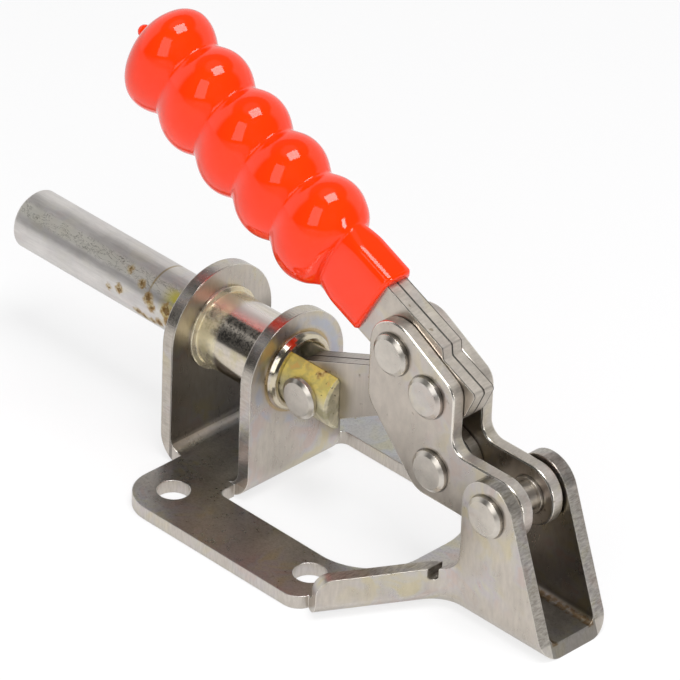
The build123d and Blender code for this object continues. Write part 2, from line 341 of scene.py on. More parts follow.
class Marks:
    """What a piece adds to the common plated finish.

    Holds the colour, roughness, height and metal so far, and the place and normal of each point.
    """

    def __init__(self, tree, coords, colour, rough, height):
        self.tree, self.coords = tree, coords
        self.colour, self.rough, self.height, self.metal = colour, rough, height, 1.0
        self.x, self.y, self.z = tree.parts(coords)
        self.normal = tree.add("ShaderNodeTexCoord").outputs["Normal"]

    def faces(self, axis):
        """How squarely the surface faces along an axis, either way, from 0 to 1."""
        return self.tree.absolute(self.tree.facing(self.normal, axis))

    def patches(self, scale, low, high, detail=2.0, roughness=0.5):
        """Blotches of noise with soft edges, 1 inside."""
        return self.tree.smooth(self.tree.noise(self.coords, scale, detail, roughness), low, high)

    def tint(self, mask, colour, amount=1.0):
        """Paints a colour over the piece inside a mask."""
        self.colour = self.tree.mix(mask * amount, self.colour, tuple(colour) + (1,))

    def cast(self, mask, colour):
        """Multiplies the colour by another one inside a mask."""
        self.colour = self.tree.mix(mask, self.colour, tuple(colour) + (1,), "MULTIPLY")

    def shade(self, mask, level):
        """Darkens the colour to a share of itself inside a mask."""
        self.cast(mask, (level, level, level))

    def roughen(self, mask, amount):
        """Adds to the roughness inside a mask."""
        self.rough = self.rough + mask * amount

    def sheared(self, mask, along, bright, dark, amount=0.45):
        """Torn grain of a cut edge, its streaks running through the sheet's thickness."""
        grain = place("sheared_grain", self.tree, Vector=self.coords, Stretch=SHEAR_STRETCH[along])
        value = self.tree.num(grain["Value"])
        worn = self.tree.mix(value, tuple(dark) + (1,), tuple(bright) + (1,))
        self.colour = self.tree.mix(mask * amount, self.colour, worn)
        self.roughen(mask, 0.04)
        self.height = self.height + mask * (value - 0.5) * 0.8

    def edge_highlight_line(self, side):
        """Painted highlight: a bright line along the rolled edge between a plate's face and its cut edge."""
        rolled = self.tree.band(side, 0.35, 0.90, 0.08)
        self.tint(rolled, EDGE_HIGHLIGHT, 0.7)
        self.roughen(rolled, -0.08)

    def seams(self):
        """Dark lines where the plates of the stack meet, on their edges alone."""
        edge = self.tree.fall(self.faces((0, 1, 0)), 0.80, 0.97)
        for seam in SEAMS:
            off = self.tree.absolute(self.tree.absolute(self.y) - seam)
            line = self.tree.fall(off, 0.12 * MM, 0.28 * MM) * edge
            self.shade(line, 0.12)
            self.roughen(line, 0.3)

    def ring(self, centre, radius, width, level=0.35):
        """Painted contact shadow: a dark line round a head that runs along Y."""
        away = self.tree.from_axis(self.coords, centre, "Y")
        self.shade(self.tree.band(away, radius - 0.1 * MM, radius + width, 0.25 * MM), level)


def plated_metal(name, colour, roughness, stretch, grain, stain, edge_wear_and_highlight, edge_radius, marks=None):
    """Plated steel: grain, clouds, stains and bright edges, partly worn and partly a painted highlight, on
    one colour, then the piece's own marks.
    """
    material, tree, shader, coords = new_material(name)
    edge = place("rounded_edge", tree, Radius=edge_radius)
    lines = place("plated_grain", tree, Vector=coords, Stretch=stretch, Grain=grain, Pits=PITS)
    value, cloud = tree.num(lines["Value"]), tree.num(lines["Cloud"])
    deep, pale = tuple(c * 0.90 for c in colour), tuple(min(c * 1.07, 1) for c in colour)
    base = tree.mix(tree.smooth(cloud, 0.25, 0.75), deep + (1,), pale + (1,))
    grained = tree.mix(tree.smooth(value, 0.2, 0.8, 0.22, 0.0), base, GRAIN_DARK + (1,))
    stained = place("plating_stain", tree, Vector=coords, Base=grained, Amount=stain)
    # bright edges: partly wear, partly a painted highlight on the rounded edges
    tinted = tree.mix(tree.num(edge["Edge"]) * 0.9, stained["Color"], tuple(edge_wear_and_highlight) + (1,))
    rough = roughness + (value - 0.5) * 0.16 + (cloud - 0.5) * 0.10
    look = Marks(tree, coords, tinted, rough, tree.num(lines["Height"]))
    if marks:
        marks(look)
    tree.feed(shader.inputs["Base Color"], look.colour)
    tree.feed(shader.inputs["Metallic"], look.metal)
    held = tree.math("MINIMUM", tree.math("MAXIMUM", look.rough, LEAST_ROUGH), MOST_ROUGH)
    tree.feed(shader.inputs["Roughness"], held)
    bump = tree.add("ShaderNodeBump", inputs={
        "Strength": 0.35, "Distance": 0.02 * MM, "Height": look.height, "Normal": edge["Normal"]})
    tree.feed(shader.inputs["Normal"], bump.outputs["Normal"])
    return material


# ---- settings

class ClampSteelSettings(bpy.types.PropertyGroup):
    """Colours and roughness of the plated steel pieces."""
    sheet_colour: FloatVectorProperty(name="Sheet", description="Colour of the plated sheet", subtype="COLOR",
                                      size=3, min=0, max=1, default=(0.63, 0.57, 0.50))
    bush_colour: FloatVectorProperty(name="Bush", description="Colour of the guide bush", subtype="COLOR",
                                     size=3, min=0, max=1, default=(0.74, 0.67, 0.58))
    plunger_colour: FloatVectorProperty(name="Plunger", description="Colour of the plunger", subtype="COLOR",
                                        size=3, min=0, max=1, default=(0.76, 0.73, 0.70))
    rivet_colour: FloatVectorProperty(name="Rivet", description="Colour of pins and rivets", subtype="COLOR",
                                      size=3, min=0, max=1, default=(0.70, 0.65, 0.58))
    # colour of the worn edges, which also paints their highlight
    edge_wear_and_highlight: FloatVectorProperty(name="Edge", description="Colour of worn edges", subtype="COLOR",
                                     size=3, min=0, max=1, default=(0.94, 0.90, 0.81))
    roughness: FloatProperty(name="Roughness", description="Roughness of the plated sheet",
                             subtype="FACTOR", min=0, max=1, default=0.30)
    edge_radius: FloatProperty(name="Edge radius", description="Rounding of the sheared edges",
                               unit="LENGTH", min=0, default=0.30 * MM)
    plate_bevel: FloatProperty(name="Plate edge", description="Rounding of the edges of the plates",
                               unit="LENGTH", min=0, default=0.38 * MM)
    stain: FloatProperty(name="Stain", description="Amount of straw and violet stain",
                         subtype="FACTOR", min=0, max=1, default=0.5)


class ClampGripSettings(bpy.types.PropertyGroup):
    """Sizes and colour of the bubble grip. Lengths run along the handle."""
    bulges: IntProperty(name="Bulges", description="Number of round bulges", min=1, default=5)
    slope: FloatProperty(name="Slope", description="Slope of the handle", subtype="ANGLE",
                         default=radians(24.0))
    height: FloatProperty(name="Height", description="Height of the grip's middle line across the handle",
                          unit="LENGTH", default=53.5 * MM)
    start: FloatProperty(name="Start", description="Mouth of the sleeve", unit="LENGTH", default=8.7 * MM)
    tip: FloatProperty(name="Tip", description="End of the last bulge", unit="LENGTH", default=81.6 * MM)
    bulge_start: FloatProperty(name="First bulge", description="Where the first bulge starts",
                               unit="LENGTH", default=22.4 * MM)
    pitch: FloatProperty(name="Pitch", description="Distance from bulge to bulge", unit="LENGTH",
                         default=11.65 * MM)
    half_height: FloatProperty(name="Half height", description="Half height of a bulge at its crest",
                               unit="LENGTH", default=12.3 * MM)
    half_width: FloatProperty(name="Half width", description="Half width of a bulge at its crest",
                              unit="LENGTH", default=8.9 * MM)
    sleeve_height: FloatProperty(name="Sleeve half height", description="Half height of the sleeve",
                                 unit="LENGTH", default=8.75 * MM)
    sleeve_width: FloatProperty(name="Sleeve half width", description="Half width of the sleeve",
                                unit="LENGTH", default=3.5 * MM)
    bulge_radius: FloatProperty(name="Bulge arc", description="Radius of a bulge along the handle",
                                unit="LENGTH", default=7.0 * MM)
    valley: FloatProperty(name="Valley", description="Depth of the valleys between bulges",
                          unit="LENGTH", default=2.3 * MM)
    colour: FloatVectorProperty(name="Colour", description="Colour of the grip", subtype="COLOR",
                                size=3, min=0, max=1, default=(0.95, 0.036, 0.001))


class ClampStageSettings(bpy.types.PropertyGroup):
    """Camera, floor and lamps."""
    azimuth: FloatProperty(name="Azimuth", description="Camera's direction from the part, from +X",
                           subtype="ANGLE", default=radians(134.328))
    elevation: FloatProperty(name="Elevation", description="Camera's height above the part",
                             subtype="ANGLE", default=radians(32.426))
    roll: FloatProperty(name="Roll", description="Turn of the camera about its own axis",
                        subtype="ANGLE", default=radians(2.193))
    distance: FloatProperty(name="Distance", description="Camera's distance", unit="LENGTH",
                            default=1276.34 * MM)
    aim: FloatVectorProperty(name="Aim", description="Point that the camera looks at", subtype="TRANSLATION",
                             size=3, default=(0.004279, -0.006899, 0.032054))
    lens: FloatProperty(name="Lens", description="Focal length in millimetres", min=1, default=347.732)
    floor_size: FloatProperty(name="Floor", description="Side of the floor", unit="LENGTH", default=3.0)
    lamp: FloatProperty(name="Lamp", description="Strength of the overhead lamp", min=0, default=3.2)
    fill: FloatProperty(name="Fill", description="Strength of the soft front lamp", min=0, default=4.5)
    room: FloatProperty(name="Room", description="Level of the room's own light", min=0, default=0.35)


# ---- steel

FLAT_ANGLE = radians(0.8)       # faces closer than this to one plane become one face
SHARP_ANGLE = radians(32)       # an edge that turns more than this is broken


def dressed_copy(node, material, width):
    """Copy of a node's mesh with its loose triangles joined, its sharp edges broken and a new material."""
    mesh = bmesh.new()
    mesh.from_mesh(NODES[node].data)
    bmesh.ops.remove_doubles(mesh, verts=mesh.verts, dist=0.002 * MM)
    bmesh.ops.dissolve_limit(mesh, angle_limit=FLAT_ANGLE, verts=mesh.verts, edges=mesh.edges)
    sharp = [e for e in mesh.edges if len(e.link_faces) == 2 and e.calc_face_angle(0) > SHARP_ANGLE]
    made = bmesh.ops.bevel(mesh, geom=sharp, offset=width, offset_type="OFFSET", segments=3, profile=0.5,
                           affect="EDGES", clamp_overlap=True, loop_slide=True)
    rounded = set(made["faces"])
    for face in mesh.faces:
        face.smooth = True
    for edge in mesh.edges:
        border = len({face in rounded for face in edge.link_faces}) == 2
        edge.smooth = not border and edge.calc_face_angle(0) < SHARP_ANGLE
    data = bpy.data.meshes.new("dressed_" + node)
    mesh.to_mesh(data)
    mesh.free()
    piece = new_object("dressed_" + node, data)
    data.materials.append(material)
    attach(piece, BODY_OF[node])
    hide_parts(node)
    return piece


def finish_node(node, material):
    """Gives a node's own mesh its material."""
    data = NODES[node].data
    data.materials.clear()
    data.materials.append(material)


class CLAMP_OT_effects(bpy.types.Operator):
    """Build the grain, edge and stain effects that the metals share"""
    bl_idname = "clamp.effects"
    bl_label = "Shared effects"

    def execute(self, context):
        make_grain_group()
        make_edge_group()
        make_sheared_group()
        make_stain_group()
        return {"FINISHED"}


# colours of a cut edge from its bright grain to its dark, and of stains
EAR_CUT = (0.60, 0.56, 0.50), (0.24, 0.22, 0.19)
FLANGE_CUT = (0.74, 0.70, 0.65), (0.50, 0.46, 0.42)
BRACKET_CUT = (0.50, 0.47, 0.42), (0.10, 0.09, 0.08)
LEVER_CUT = (0.78, 0.74, 0.68), (0.42, 0.39, 0.35)
LINK_CUT = (0.50, 0.47, 0.43), (0.24, 0.22, 0.20)
BEND_DIRT, STRAW_RING, BLUE_RING = (0.30, 0.18, 0.07), (0.50, 0.36, 0.16), (0.40, 0.46, 0.60)

# places on the base that the frame's boxes don't give
SHEET_TOP = 3.0 * MM            # height just over the flange
REAR_EAR_FACE = 8.9 * MM        # rear face of the rear guide ear
FRONT_EAR_FACE = 30.0 * MM      # rear face of the front guide ear
CHANNEL_HALF = 6.05 * MM        # half width inside the bracket


def base_marks(look):
    """Cut edges, dark flange top, stained ears and a painted contact shadow round the pin on the stamped
    base.
    """
    tree, x, z = look.tree, look.x, look.z
    off_middle = tree.absolute(look.y)
    flat, side, ahead = (look.faces(axis) for axis in ((0, 0, 1), (0, 1, 0), (1, 0, 0)))
    flange = tree.fall(z, SHEET_TOP, SHEET_TOP + 0.4 * MM)
    raised = 1.0 - flange

    flange_top = flange * tree.smooth(flat, 0.7, 0.95)
    look.cast(flange_top * tree.smooth(x, -34 * MM, -26 * MM), (0.86, 0.92, 1.0))
    look.shade(flange_top * look.patches(2200.0, 0.45, 0.62, 3.0, 0.7), 0.86)

    look.sheared(flange * tree.smooth(flat, 0.6, 0.3), "Z", *FLANGE_CUT)
    ear_rim = raised * tree.smooth(x, 6 * MM, 8 * MM) * tree.smooth(ahead, 0.6, 0.3)
    look.sheared(ear_rim, "X", *EAR_CUT, 0.30)
    look.roughen(ear_rim, -0.10)
    bracket = tree.fall(x, -20 * MM, -14 * MM) * tree.smooth(
        off_middle, CHANNEL_HALF - 0.25 * MM, CHANNEL_HALF + 0.05 * MM)
    look.sheared(raised * bracket * tree.smooth(side, 0.55, 0.25), "Y", *BRACKET_CUT, 0.6)

    # brown dirt where the bracket's walls bend up from its floor
    bend = tree.band(off_middle, 4.4 * MM, 5.4 * MM, 0.5 * MM) * tree.band(
        z, 2.6 * MM, 3.9 * MM, 0.3 * MM) * tree.fall(x, -46 * MM, -42 * MM)
    look.tint(bend * look.patches(900.0, 0.35, 0.6, 3.0, 0.6), BEND_DIRT, 0.8)

    # heat ring round the bush on the rear ear's rear face
    from_bush = tree.from_axis(look.coords, BUSH, "X")
    ear_face = tree.band(x, REAR_EAR_FACE - 0.5 * MM, REAR_EAR_FACE + 0.3 * MM, 0.1 * MM)
    blue = ear_face * look.patches(260.0, 0.40, 0.62) * tree.band(from_bush, 9.9 * MM, 10.9 * MM, 1.0 * MM)
    look.tint(blue, BLUE_RING, 0.5)

    # faces that stand in the dark: the front ear's lower part and the bracket's inside
    front_ear = tree.band(x, FRONT_EAR_FACE - 0.4 * MM, FRONT_EAR_FACE + 0.3 * MM, 0.1 * MM)
    look.shade(front_ear * tree.fall(z, 24 * MM, 30 * MM), 0.50)
    channel = tree.fall(x, -44 * MM, -40 * MM) * tree.fall(z, 26 * MM, 32 * MM) * tree.fall(
        off_middle, CHANNEL_HALF - 0.05 * MM, CHANNEL_HALF + 0.1 * MM)
    channel_floor = channel * tree.smooth(flat, 0.7, 0.9)
    look.shade(channel * tree.smooth(flat, 0.7, 0.4), 0.46)
    look.shade(channel_floor, 0.62)
    look.roughen(channel_floor, 0.12)

    look.tint(ear_face * tree.band(from_bush, 8.2 * MM, 8.7 * MM, 0.4 * MM), STRAW_RING, 0.7)
    # painted contact shadow round the base pin's head
    look.ring(BASE_PIN, 4.3 * MM, 0.15 * MM, 0.45)


def plate_edges(look, cut_colours, amount, roughness=0.0):
    """Torn, rolled and seamed edges of flat plates that are stacked along Y, with a painted highlight line on
    the rolled edge.
    """
    side = look.faces((0, 1, 0))
    cut = look.tree.smooth(side, 0.45, 0.2)
    look.sheared(cut, "Y", *cut_colours, amount)
    look.roughen(cut, roughness)
    # painted highlight line along the rolled edge
    look.edge_highlight_line(side)
    look.seams()


def toggle_marks(look):
    """Edges of the lever's plates and bars, and painted contact shadow round their rivets."""
    plate_edges(look, LEVER_CUT, 0.28, 0.14)
    # painted contact shadow round each rivet and round the base pin
    for pin in ("upper_rivet", "lower_rivet", "link_pin"):
        look.ring(middle(pin), 4.3 * MM, 0.15 * MM, 0.4)
    look.ring(BASE_PIN, 3.8 * MM, 0.2 * MM, 0.6)
    look.tint(look.patches(420.0, 0.70, 0.76), (0.26, 0.21, 0.14), 0.7)


def link_marks(look):
    """Edges and dark specks of the link's two plates."""
    plate_edges(look, LINK_CUT, 0.5)
    look.tint(look.patches(520.0, 0.66, 0.74), (0.24, 0.20, 0.15), 0.7)


def bush_marks(look):
    """Dark speckle along the bush, heaviest in a painted dark reflection band, a painted highlight along its
    top and gold heat tint at its shoulders.
    """
    tree, x = look.tree, look.x
    # the speckle is heaviest in a band facing one way: a painted dark reflection
    band = tree.smooth(tree.facing(look.normal, (0, 0.64, 0.77)), 0.86, 0.96)
    look.shade(look.patches(1500.0, 0.46, 0.60, 3.0, 0.75) * (0.08 + band * 0.8), 0.24)
    # painted highlight along the top: pale, rougher and less metallic
    top_highlight = tree.smooth(tree.facing(look.normal, (0, 0.17, 0.98)), 0.93, 0.99)
    look.tint(top_highlight, (0.92, 0.88, 0.84), 0.8)
    look.roughen(top_highlight, 0.16)
    blotch = tree.smooth(tree.noise(look.coords, 320.0), 0.35, 0.6, 0.5, 1.0)
    gold = tree.band(x, 25.0 * MM, 29.0 * MM, 1.6 * MM) * blotch
    look.tint(gold, (0.86, 0.76, 0.44), 0.6)
    look.roughen(gold, 0.08)
    look.metal = 1.0 - tree.math("MAXIMUM", top_highlight * 0.28, gold * 0.40)
    low = tree.smooth(tree.facing(look.normal, (0, 0.98, -0.1)), 0.70, 0.95)
    look.tint(low * look.patches(260.0, 0.45, 0.65), (0.56, 0.49, 0.24), 0.5)
    look.tint(tree.band(x, 7.0 * MM, 7.9 * MM, 0.4 * MM), (0.66, 0.58, 0.40), 0.6)


# centre and radius of each rust spot on the plunger, in millimetres
RUST_SPOTS = (
    ((55.9, 6.3, 25.5), 0.25), ((53.0, 6.3, 26.4), 0.55), ((51.9, 4.2, 30.7), 0.35), ((47.7, 5.2, 29.6), 0.5),
    ((44.9, 6.1, 27.8), 0.9), ((43.6, 6.2, 26.4), 0.6), ((39.6, 6.1, 27.5), 1.2), ((39.0, 6.3, 25.0), 0.9),
    ((47.9, 5.9, 23.5), 0.6), ((45.9, 5.7, 22.9), 0.6), ((43.8, 5.8, 23.0), 0.5), ((41.6, 6.0, 23.8), 0.7),
    ((-1.6, 2.6, 31.7), 0.35), ((-1.0, 3.6, 31.1), 0.3))
RUST_HALO, RUST, RUST_CORE = (0.56, 0.44, 0.20), (0.30, 0.16, 0.04), (0.16, 0.08, 0.02)
THREAD_PITCH = 1.25 * MM
BORE_RADIUS = 3.5 * MM


def scratches_and_painted_reflection(look):
    """Darker greenish band along the plunger's upper side, partly a painted dark reflection, with fine
    scratches.
    """
    tree = look.tree
    upper = tree.smooth(tree.facing(look.normal, (0, 0.66, 0.75)), 0.955, 0.995)
    lines = tree.noise(tree.stretched(look.coords, (260.0, 520.0, 900.0), turn=(0.3, 0.5, 0.8)),
                       1.0, 4.0, 0.75, 0.8)
    scratch = tree.fall(tree.absolute(lines - 0.5), 0.0, 0.022)
    # darker greenish tint on the band facing one way: partly a painted dark reflection
    look.tint(upper * tree.smooth(look.x, 34 * MM, 44 * MM), (0.60, 0.59, 0.51), 0.55)
    look.tint(scratch * (upper * 0.75 + 0.08), (0.10, 0.09, 0.07), 0.9)
    look.roughen(upper, 0.12)


def patina_marks(look):
    """Yellow patina on the slotted end, yellower on top and darker and greyer on its sides, straw stain
    before the ears and a thin line round the bar.
    """
    tree, x = look.tree, look.x
    fork = tree.fall(x, 9 * MM, 13 * MM)
    patch = tree.noise(look.coords, 330.0, 3.0, 0.6, 0.4)
    top = tree.smooth(tree.facing(look.normal, (0, 0.5, 0.87)), 0.45, 0.95)
    # the slotted end is tinted yellower facing up and darker, greyer on its sides
    look.tint(fork * (0.35 + top * 0.6), (0.66, 0.53, 0.09), 0.95)
    look.tint(fork * tree.smooth(patch, 0.46, 0.62), (0.40, 0.36, 0.13), 0.65)
    look.tint(fork * (1.0 - top) * tree.smooth(patch, 0.34, 0.5), (0.40, 0.37, 0.26), 0.6)
    look.tint(fork * top * tree.smooth(patch, 0.60, 0.70), (0.60, 0.34, 0.10), 0.6)
    look.tint(fork * look.patches(900.0, 0.66, 0.72, 2.0, 0.6), (0.05, 0.04, 0.02), 0.9)
    look.roughen(fork, 0.14)
    look.metal = 0.85 - fork * (0.15 + top * 0.30)
    straw = tree.band(x, 33 * MM, 38 * MM, 5 * MM) * tree.smooth(
        tree.facing(look.normal, (0, 0.85, 0.5)), 0.80, 0.97)
    look.tint(straw * tree.smooth(patch, 0.34, 0.56), (0.62, 0.55, 0.07), 0.95)
    line = tree.band(x, 45.2 * MM, 45.4 * MM, 0.25 * MM) * tree.smooth(look.z, 28 * MM, 31 * MM)
    look.tint(line, (0.34, 0.24, 0.08), 0.7)


def rust_marks(look):
    """Rust spots with ragged outlines, each a pale halo round a dark core."""
    tree = look.tree
    ragged = tree.noise(look.coords, 1100.0, 3.0, 0.6) - 0.5
    shift = tree.add("ShaderNodeCombineXYZ", inputs={
        "X": ragged * 2.2 * MM, "Y": ragged * -1.6 * MM, "Z": ragged * 1.6 * MM})
    wavy = tree.vector_math("ADD", look.coords, shift.outputs["Vector"])
    broken = look.patches(800.0, 0.40, 0.58, 3.0, 0.65)
    for centre, radius in RUST_SPOTS:
        halo = tree.ball(wavy, Vector(centre) * MM, radius * MM, 0.9 * MM)
        core = tree.ball(wavy, Vector(centre) * MM, 0.55 * radius * MM, 0.35 * MM)
        look.tint(halo, RUST_HALO, 0.7)
        look.tint(halo * broken, RUST, 0.8)
        look.tint(core, RUST_CORE, 0.8)
        look.roughen(halo, 0.15)


def plunger_marks(look):
    """Scratches, a painted dark reflection band, patina and rust on the plunger, and the turns of thread in
    its bore.
    """
    tree = look.tree
    scratches_and_painted_reflection(look)
    patina_marks(look)
    rust_marks(look)
    from_axis = tree.from_axis(look.coords, PLUNGER_PIN, "X")
    bore = tree.fall(from_axis, BORE_RADIUS, BORE_RADIUS + 0.2 * MM)
    thread = tree.math("PINGPONG", look.x / THREAD_PITCH, 0.5)
    look.height = look.height * (1.0 - bore) + bore * thread * 40.0


class CLAMP_OT_sheet(bpy.types.Operator):
    """Finish the stamped base, the toggle plates and the bars"""
    bl_idname = "clamp.sheet"
    bl_label = "Stamped sheet"

    def execute(self, context):
        steel = context.scene.clamp_steel
        edge = {"edge_wear_and_highlight": steel.edge_wear_and_highlight, "edge_radius": steel.edge_radius}
        sheet = plated_metal("plated_sheet", steel.sheet_colour, steel.roughness, grain=0.5,
                             stretch=(1000.0, 1000.0, 260.0), stain=steel.stain, marks=base_marks, **edge)
        finish_node("base", sheet)
        handle = plated_metal("plated_handle", steel.sheet_colour, steel.roughness, grain=0.5,
                              stretch=(500.0, 500.0, 260.0), stain=steel.stain * 0.6,
                              marks=toggle_marks, **edge)
        for node in ("toggle_plate_near", "toggle_plate_far", "handle_bar_near", "handle_bar_far"):
            dressed_copy(node, handle, steel.plate_bevel)
        link = plated_metal("plated_link", steel.sheet_colour, steel.roughness + 0.05, grain=0.7,
                            stretch=(700.0, 900.0, 60.0), stain=steel.stain * 0.5, marks=link_marks, **edge)
        for node in ("link_plate_near", "link_plate_far"):
            dressed_copy(node, link, steel.plate_bevel)
        return {"FINISHED"}


class CLAMP_OT_guide(bpy.types.Operator):
    """Finish the guide bush and the plunger"""
    bl_idname = "clamp.guide"
    bl_label = "Bush and plunger"

    def execute(self, context):
        steel = context.scene.clamp_steel
        edge = {"edge_wear_and_highlight": steel.edge_wear_and_highlight, "edge_radius": steel.edge_radius}
        bush = plated_metal("bush_steel", steel.bush_colour, roughness=0.15, grain=0.5,
                            stretch=(120.0, 1400.0, 1400.0), stain=0.25, marks=bush_marks, **edge)
        finish_node("guide_bush", bush)
        plunger = plated_metal("plunger_steel", steel.plunger_colour, roughness=0.36, grain=0.6,
                               stretch=(160.0, 1500.0, 1500.0), stain=0.15, marks=plunger_marks, **edge)
        finish_node("plunger", plunger)
        return {"FINISHED"}


class CLAMP_OT_pins(bpy.types.Operator):
    """Finish the pins, rivets and spacer rings"""
    bl_idname = "clamp.pins"
    bl_label = "Pins and rivets"

    def execute(self, context):
        steel = context.scene.clamp_steel
        rivet = plated_metal("rivet_steel", steel.rivet_colour, roughness=0.30, grain=0.4,
                             stretch=(420.0, 420.0, 420.0), stain=0.2,
                             edge_wear_and_highlight=steel.edge_wear_and_highlight, edge_radius=0.5 * steel.edge_radius)
        for node in ("plunger_pin", "link_pin", "base_pin", "upper_rivet", "lower_rivet",
                     "spacer_near", "spacer_far"):
            finish_node(node, rivet)
        return {"FINISHED"}


# ---- grip

# settings that feed the grip's tree, each through an input of the same name
GRIP_SIZES = ("start", "tip", "bulge_start", "pitch", "half_height", "half_width", "sleeve_height",
              "sleeve_width", "bulge_radius", "valley", "height", "slope")
MOUTH_SHARE, DOME_SHARE = 0.03, 0.14    # shares of the rings that close the mouth and the tip
BLEND = 2.4 * MM                        # how softly the sleeve runs into the bulges
LIP = 0.4 * MM                          # how far the sleeve draws in at its mouth
MOUTH_SLANT = 0.088                     # how far the mouth leans, for each metre across the handle
NUB_RADIUS, NUB_REACH = 1.4 * MM, 0.9 * MM


def label(name):
    """Name of a setting as it stands on the tree's inputs."""
    return name.replace("_", " ").title()


def grip_run(tree, size, along, last):
    """Place along the handle for a share of the rings, and how open the mouth and the tip are there."""
    dome = 1.0 - DOME_SHARE
    mouth = tree.math("MINIMUM", along / MOUTH_SHARE, 1.0)
    angle = tree.math("MAXIMUM", (along - dome) / (1.0 - dome), 0.0) * (pi / 2)
    run = (along - MOUTH_SHARE) / (dome - MOUTH_SHARE)
    run = tree.math("MINIMUM", tree.math("MAXIMUM", run, 0.0), 1.0)
    straight = size["start"] + (last - size["start"]) * run
    u = straight + (size["tip"] - last) * tree.math("SINE", angle)
    return straight, u, mouth, tree.math("COSINE", angle) ** 0.92


def grip_reach(tree, size, straight, first):
    """Half width and half height of the grip: an arc for each bulge, blunted in the valleys."""
    beat = (straight - size["bulge_start"]) / size["pitch"]
    periodic = (tree.math("FRACT", beat) - 0.5) * size["pitch"]
    before = first - straight
    is_before = tree.math("GREATER_THAN", before, 0.0)
    off = tree.absolute(tree.pick(is_before, periodic, before))
    radius = size["bulge_radius"]
    arc = radius - tree.math("SQRT", tree.math("MAXIMUM", radius * radius - off * off, 0.0))
    valley = tree.math("SMOOTH_MIN", arc, size["valley"], 2.2 * MM)
    depth = tree.pick(is_before, valley, arc)
    return (tree.math("SMOOTH_MAX", size["half_width"] - depth * 0.75, size["sleeve_width"], BLEND),
            tree.math("SMOOTH_MAX", size["half_height"] - depth, size["sleeve_height"], BLEND))


def make_grip_tree():
    """Sleeve and bulges as one closed skin, set out by rule along the handle."""
    inputs = [(label(name), "NodeSocketFloat", 0.0) for name in GRIP_SIZES]
    inputs += [("Bulges", "NodeSocketInt", 5), ("Rings", "NodeSocketInt", 340),
               ("Sides", "NodeSocketInt", 97), ("Material", "NodeSocketMaterial", None)]
    group, tree, given, result = group_tree("bubble_grip", "GeometryNodeTree", inputs,
                                            [("Geometry", "NodeSocketGeometry")])
    size = {name: tree.num(given[label(name)]) for name in GRIP_SIZES}
    first = size["bulge_start"] + size["pitch"] * 0.5
    last = first + size["pitch"] * (tree.num(given["Bulges"]) - 1.0)

    grid = tree.add("GeometryNodeMeshGrid", inputs={
        "Size X": 1.0, "Size Y": 1.0, "Vertices X": given["Rings"], "Vertices Y": given["Sides"]})
    x, y, _ = tree.parts(tree.add("GeometryNodeInputPosition").outputs["Position"])
    along, turn = x + 0.5, (y + 0.5) * (2 * pi)
    straight, u, mouth, closing = grip_run(tree, size, along, last)
    wide, tall = grip_reach(tree, size, straight, first)

    # the section is a rounded rectangle on the sleeve and an oval on the bulges
    power = tree.smooth(straight, size["bulge_start"] - 6 * MM, size["bulge_start"] + 3 * MM, 0.42, 0.94)
    lip = tree.pick(tree.smooth(u, size["start"], size["start"] + 0.7 * MM), LIP, 0.0)
    across = []
    for wave, reach in (("COSINE", wide), ("SINE", tall)):
        value = tree.math(wave, turn)
        # rounding of a full turn's sine is cut off, so that the seam closes
        share = tree.math("MAXIMUM", tree.absolute(value) - 1e-6, 0.0)
        across.append(tree.math("SIGN", value) * share ** power * (reach - lip) * closing * mouth)
    slant = (MOUTH_SLANT * across[1]) * tree.fall(u, size["start"], size["start"] + 8 * MM)
    local = tree.add("ShaderNodeCombineXYZ", inputs={
        "X": u - slant, "Y": across[0], "Z": across[1] + size["height"]})
    skin = tree.add("GeometryNodeSetPosition", inputs={
        "Geometry": grid.outputs["Mesh"], "Position": local.outputs["Vector"]})
    merged = tree.add("GeometryNodeMergeByDistance", inputs={
        "Geometry": skin.outputs["Geometry"], "Distance": 0.004 * MM})

    nub = tree.add("GeometryNodeMeshUVSphere", inputs={"Segments": 32, "Rings": 16, "Radius": NUB_RADIUS})
    nub_place = tree.add("ShaderNodeCombineXYZ", inputs={"X": size["tip"] + NUB_REACH, "Z": size["height"]})
    nub = tree.add("GeometryNodeTransform", inputs={
        "Geometry": nub.outputs["Mesh"], "Translation": nub_place.outputs["Vector"]})
    joined = tree.add("GeometryNodeJoinGeometry")
    for part in (merged, nub):
        tree.feed(joined.inputs["Geometry"], part.outputs["Geometry"])
    tilt = tree.add("ShaderNodeCombineXYZ", inputs={"Y": 0.0 - size["slope"]})
    turned = tree.add("GeometryNodeTransform", inputs={
        "Geometry": joined.outputs["Geometry"], "Rotation": tilt.outputs["Vector"]})
    smooth = tree.add("GeometryNodeSetShadeSmooth", inputs={"Geometry": turned.outputs["Geometry"]})
    real = tree.add("GeometryNodeRealizeInstances", inputs={"Geometry": smooth.outputs["Geometry"]})
    painted = tree.add("GeometryNodeSetMaterial", inputs={
        "Geometry": real.outputs["Geometry"], "Material": given["Material"]})
    tree.feed(result["Geometry"], painted.outputs["Geometry"])
    return group


